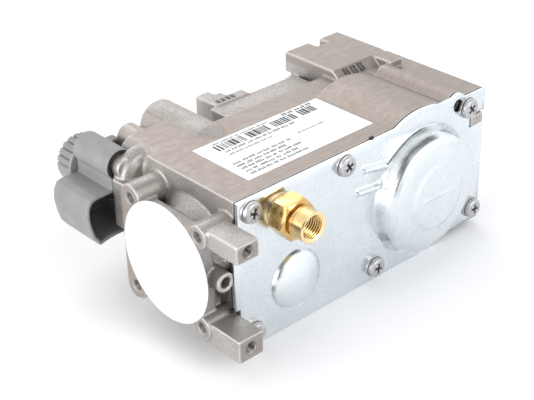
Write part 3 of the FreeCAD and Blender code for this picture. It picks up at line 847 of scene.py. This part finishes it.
def cast_marks():
    """Raised closed frames, like noughts, on the slab's leaning front and the stepped block."""
    bm = bmesh.new()

    def mark(origin, lean, tall):
        up = Vector((0, math.cos(lean), math.sin(lean))) * tall
        out = Vector((0, -math.sin(lean), math.cos(lean))) * 0.25
        wide = Vector((tall * 0.62, 0, 0))
        bar, post = 0.16, 0.16 * 1.6
        strokes = [
            ((0, 0), (1, bar)), ((0, 1 - bar), (1, 1)), ((0, 0), (post, 1)), ((1 - post, 0), (1, 1)),
        ]
        for (u0, v0), (u1, v1) in strokes:
            block = bmesh.ops.create_cube(bm, size=1)["verts"]
            for vert in block:
                u = u0 if vert.co.x < 0 else u1
                v = v0 if vert.co.y < 0 else v1
                vert.co = Vector(origin) + wide * u + up * v + out * (2 * vert.co.z)

    slab_lean = math.radians(34.7)
    for k in range(3):
        mark((108.2 + 4.0 * k, 19.3, 28.3), slab_lean, 3.6)
    for k in range(4):
        mark((61.0 + 2.4 * k, 41.6, 25.4), 0, 2.0)
    finish_piece(to_object("cast_marks", bm, 30), MACHINED_PAINTED_SHADE)


cast_marks()


# ---------------------------------------------------------------- plastic cover and knob

def operator_cover():
    """The plastic cover: the CAD solid with its edges rounded."""
    obj = copy_node("operator_cover", "cover_shell")
    modify(obj, "REMESH", mode="VOXEL", voxel_size=0.33 * MM)
    modify(obj, "SMOOTH", factor=0.5, iterations=8)
    bake(obj)
    soften(obj, 60)
    finish_piece(obj, PLASTIC, replaces=["operator_cover"])


operator_cover()


def tube_rim_painted_shade():
    """A dark ring round the open front end of the cover's tube, painted shade on its rim face."""
    bm = bmesh.new()
    inner, outer, front, back = 4.8, 5.75, 33.95, 34.6
    lathe(bm, "y", TUBE, [(inner, back), (inner, front), (outer, front), (outer, back)], 72)
    # painted shade: the black rubber colour here stands in for the shade on the tube's rim
    finish_piece(to_object("tube_rim_painted_shade", bm), RUBBER)


tube_rim_painted_shade()


def control_knob():
    """The knob: a drum with flutes all round but for one plain stretch."""
    low, high = corners("control_knob")
    reach = (high.x - low.x) / 2
    spacing, first, half_width, depth = 18, 64, 4.2, 0.085
    plain_start, plain_end = 181, 217

    def flutes(angle, along):
        """The share of the full radius at an angle in radians and a distance along y."""
        turn = math.degrees(angle) % 360
        if plain_start < turn < plain_end:
            return 1.0
        place = (turn - first) % spacing
        away = min(place, spacing - place)
        cut = smooth_step(1 - away / half_width) * depth
        return 1 - cut * smooth_step((along - low.y - 0.8) / 1.2)

    steps = [low.y + 0.6 + (high.y - low.y - 1.8) * k / 10 for k in range(11)]
    profile = [(0, low.y), (reach - 0.9, low.y), (reach - 0.25, low.y + 0.2)]
    profile += [(reach, s) for s in steps]
    profile += [(reach - 0.2, high.y - 0.7), (reach - 0.9, high.y - 0.15), (reach - 1.6, high.y)]
    profile += [(reach - 3.2, high.y), (reach - 3.6, high.y - 0.3), (0, high.y - 0.3)]
    bm = bmesh.new()
    lathe(bm, "y", KNOB, profile, 360, flutes)
    obj = to_object("knob_grip", bm, 40)
    finish_piece(obj, PLASTIC, body="knob", replaces=["control_knob"])


control_knob()


# ---------------------------------------------------------------- springs

# each spring by the joint that shortens it, and whether its front end is the one held still
SPRINGS = {
    "main_valve_lift": ("main_valve_spring", True),
    "safety_valve_lift": ("safety_valve_spring", False),
    "servo_valve_lift": ("servo_plunger_spring", False),
    "regulator_lift": ("regulator_spring", False),
}


def spring(joint):
    """A steel copy of the spring's CAD coil, which stands in for the CAD node."""
    node, front_held = SPRINGS[joint]
    obj = finish_piece(copy_node(node, node + "_coil"), STEEL, replaces=[node])
    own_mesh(obj)


for joint in frame["joints"]:
    if joint["name"] in SPRINGS:
        spring(joint["name"])


# ---------------------------------------------------------------- label print

def label_print():
    """Random bars and rows of small blocks on the rating label; they say nothing."""
    draw = random.Random(5)
    low, high = corners("rating_label")
    level = high.z + 0.02
    bm = bmesh.new()

    def strip(x, y):
        box(bm, x, y, (high.z - 0.02, level))

    for start, end in ((33, 46), (48, 57), (60, 71), (73.5, 81)):
        x = start
        while x < end:
            width = draw.choice((0.4, 0.5, 0.9, 1.3))
            strip((x, x + width), (8.2, 12.6))
            x += width + draw.choice((0.35, 0.45, 0.7))

    def words(x, end, y, tall):
        """A row of blocks in groups, from x to end."""
        while x < end:
            length = draw.uniform(1.2, 3.4)
            block = x
            while block < x + length:
                strip((block, block + tall * 0.45), (y, y + tall * draw.choice((0.7, 1.0))))
                block += tall * 0.72
            x += length + tall * 0.9

    words(68, 83, 13.1, 1.7)
    words(34, 60, 13.2, 0.9)
    words(34, 68, 6.0, 1.2)
    words(34, 52, 3.6, 0.9)
    for row in range(5):
        words(30, 56 - 2.5 * (row % 2), -2.6 - 2.3 * row, 1.3)
    words(62, 72, -1.0, 0.9)
    finish_piece(to_object("label_marks", bm, 30), INK)


label_print()


# ---------------------------------------------------------------- stage, lights and camera

def area_light(name, place, target, size, power):
    """A rectangular white light in metres and watts, aimed at a target."""
    data = bpy.data.lights.new(name, "AREA")
    data.shape = "RECTANGLE"
    data.size, data.size_y = size
    data.energy = power
    obj = bpy.data.objects.new(name, data)
    obj.location = place
    obj.rotation_euler = (Vector(target) - Vector(place)).to_track_quat("-Z", "Y").to_euler()
    bpy.context.scene.collection.objects.link(obj)


# directions along the studio's dark ceiling arch, which the domes mirror as dark bands
DARK_PATCHES = [
    (-0.62, -0.66, 0.12), (-0.56, -0.64, 0.40), (-0.52, -0.45, 0.70), (-0.35, -0.25, 0.90),
    (0.00, -0.20, 0.98), (0.35, -0.20, 0.90), (0.60, -0.15, 0.78),
]
# degrees from a patch's middle to its full dark and to its end, and how bright it is
DARK_CORE, DARK_EDGE, DARK_SHADE = 7, 17, 0.06


def stage():
    """The pale floor and the lights, then the room."""
    reach, top = 3000, BODY_LOW.z - 0.2
    bm = bmesh.new()
    box(bm, (-reach, reach), (-reach, reach), (top - 10, top))
    floor = to_object("floor", bm)
    paint = Surface("floor_paint", roughness=0.9)
    tone = paint.noise(400, 2)
    paint.colour(paint.ramp(tone, (0.3, (0.88, 0.885, 0.90)), (0.7, (0.89, 0.895, 0.91))))
    floor.data.materials.append(paint.material)
    middle = (0.06, 0, 0)
    area_light("key", (-0.85, 0.05, 0.16), (0, 0, 0), (1.0, 0.6), 7.0)
    area_light("front", (0.22, -0.85, 0.5), middle, (0.35, 0.3), 2.4)
    area_light("top", (0.35, 0.75, 0.65), middle, (0.7, 0.5), 1.4)
    room()
    bpy.context.scene.view_settings.view_transform = "Standard"


def room():
    """A bright world whose dark patches give the metal something to mirror."""
    world = bpy.data.worlds.new("studio")
    world.use_nodes = True
    tree = world.node_tree
    sky = tree.nodes["Background"]
    sky.inputs["Strength"].default_value = 1.3
    place = tree.nodes.new("ShaderNodeTexCoord").outputs["Generated"]
    tint = None
    for direction in DARK_PATCHES:
        aim = tree.nodes.new("ShaderNodeVectorMath")
        aim.operation = "DOT_PRODUCT"
        tree.links.new(place, aim.inputs[0])
        aim.inputs[1].default_value = Vector(direction).normalized()
        fade = tree.nodes.new("ShaderNodeMapRange")
        fade.interpolation_type = "SMOOTHSTEP"
        fade.inputs["From Min"].default_value = math.cos(math.radians(DARK_EDGE))
        fade.inputs["From Max"].default_value = math.cos(math.radians(DARK_CORE))
        fade.inputs["To Min"].default_value = 1.0
        fade.inputs["To Max"].default_value = DARK_SHADE
        tree.links.new(aim.outputs["Value"], fade.inputs["Value"])
        blend = tree.nodes.new("ShaderNodeMix")
        blend.data_type = "RGBA"
        blend.blend_type = "MULTIPLY"
        blend.inputs[0].default_value = 1.0
        blend.inputs[6].default_value = (0.99, 0.99, 1.0, 1)
        if tint is not None:
            tree.links.new(tint, blend.inputs[6])
        tree.links.new(fade.outputs["Result"], blend.inputs[7])
        tint = blend.outputs[2]
    tree.links.new(tint, sky.inputs["Color"])
    bpy.context.scene.world = world


def camera():
    """The photograph's view: from the front left and above, slightly rolled."""
    place = (-0.2124, -0.2891, 0.2306)
    azimuth, elevation, roll = (math.radians(a) for a in (-41.92, 30.08, -1.29))
    back = Vector((
        math.sin(azimuth) * math.cos(elevation),
        -math.cos(azimuth) * math.cos(elevation),
        math.sin(elevation),
    ))
    level = (-back).cross(Vector((0, 0, 1))).normalized()
    upright = level.cross(-back)
    right = math.cos(roll) * level + math.sin(roll) * upright
    up = -math.sin(roll) * level + math.cos(roll) * upright
    data = bpy.data.cameras.new("camera")
    data.lens = 84.0
    data.sensor_width = 36.0
    data.clip_start = 0.01
    data.clip_end = 20
    obj = bpy.data.objects.new("camera", data)
    turned = Matrix((right, up, back)).transposed().to_4x4()
    obj.matrix_world = Matrix.Translation(place) @ turned
    bpy.context.scene.collection.objects.link(obj)
    bpy.context.scene.camera = obj


stage()
camera()
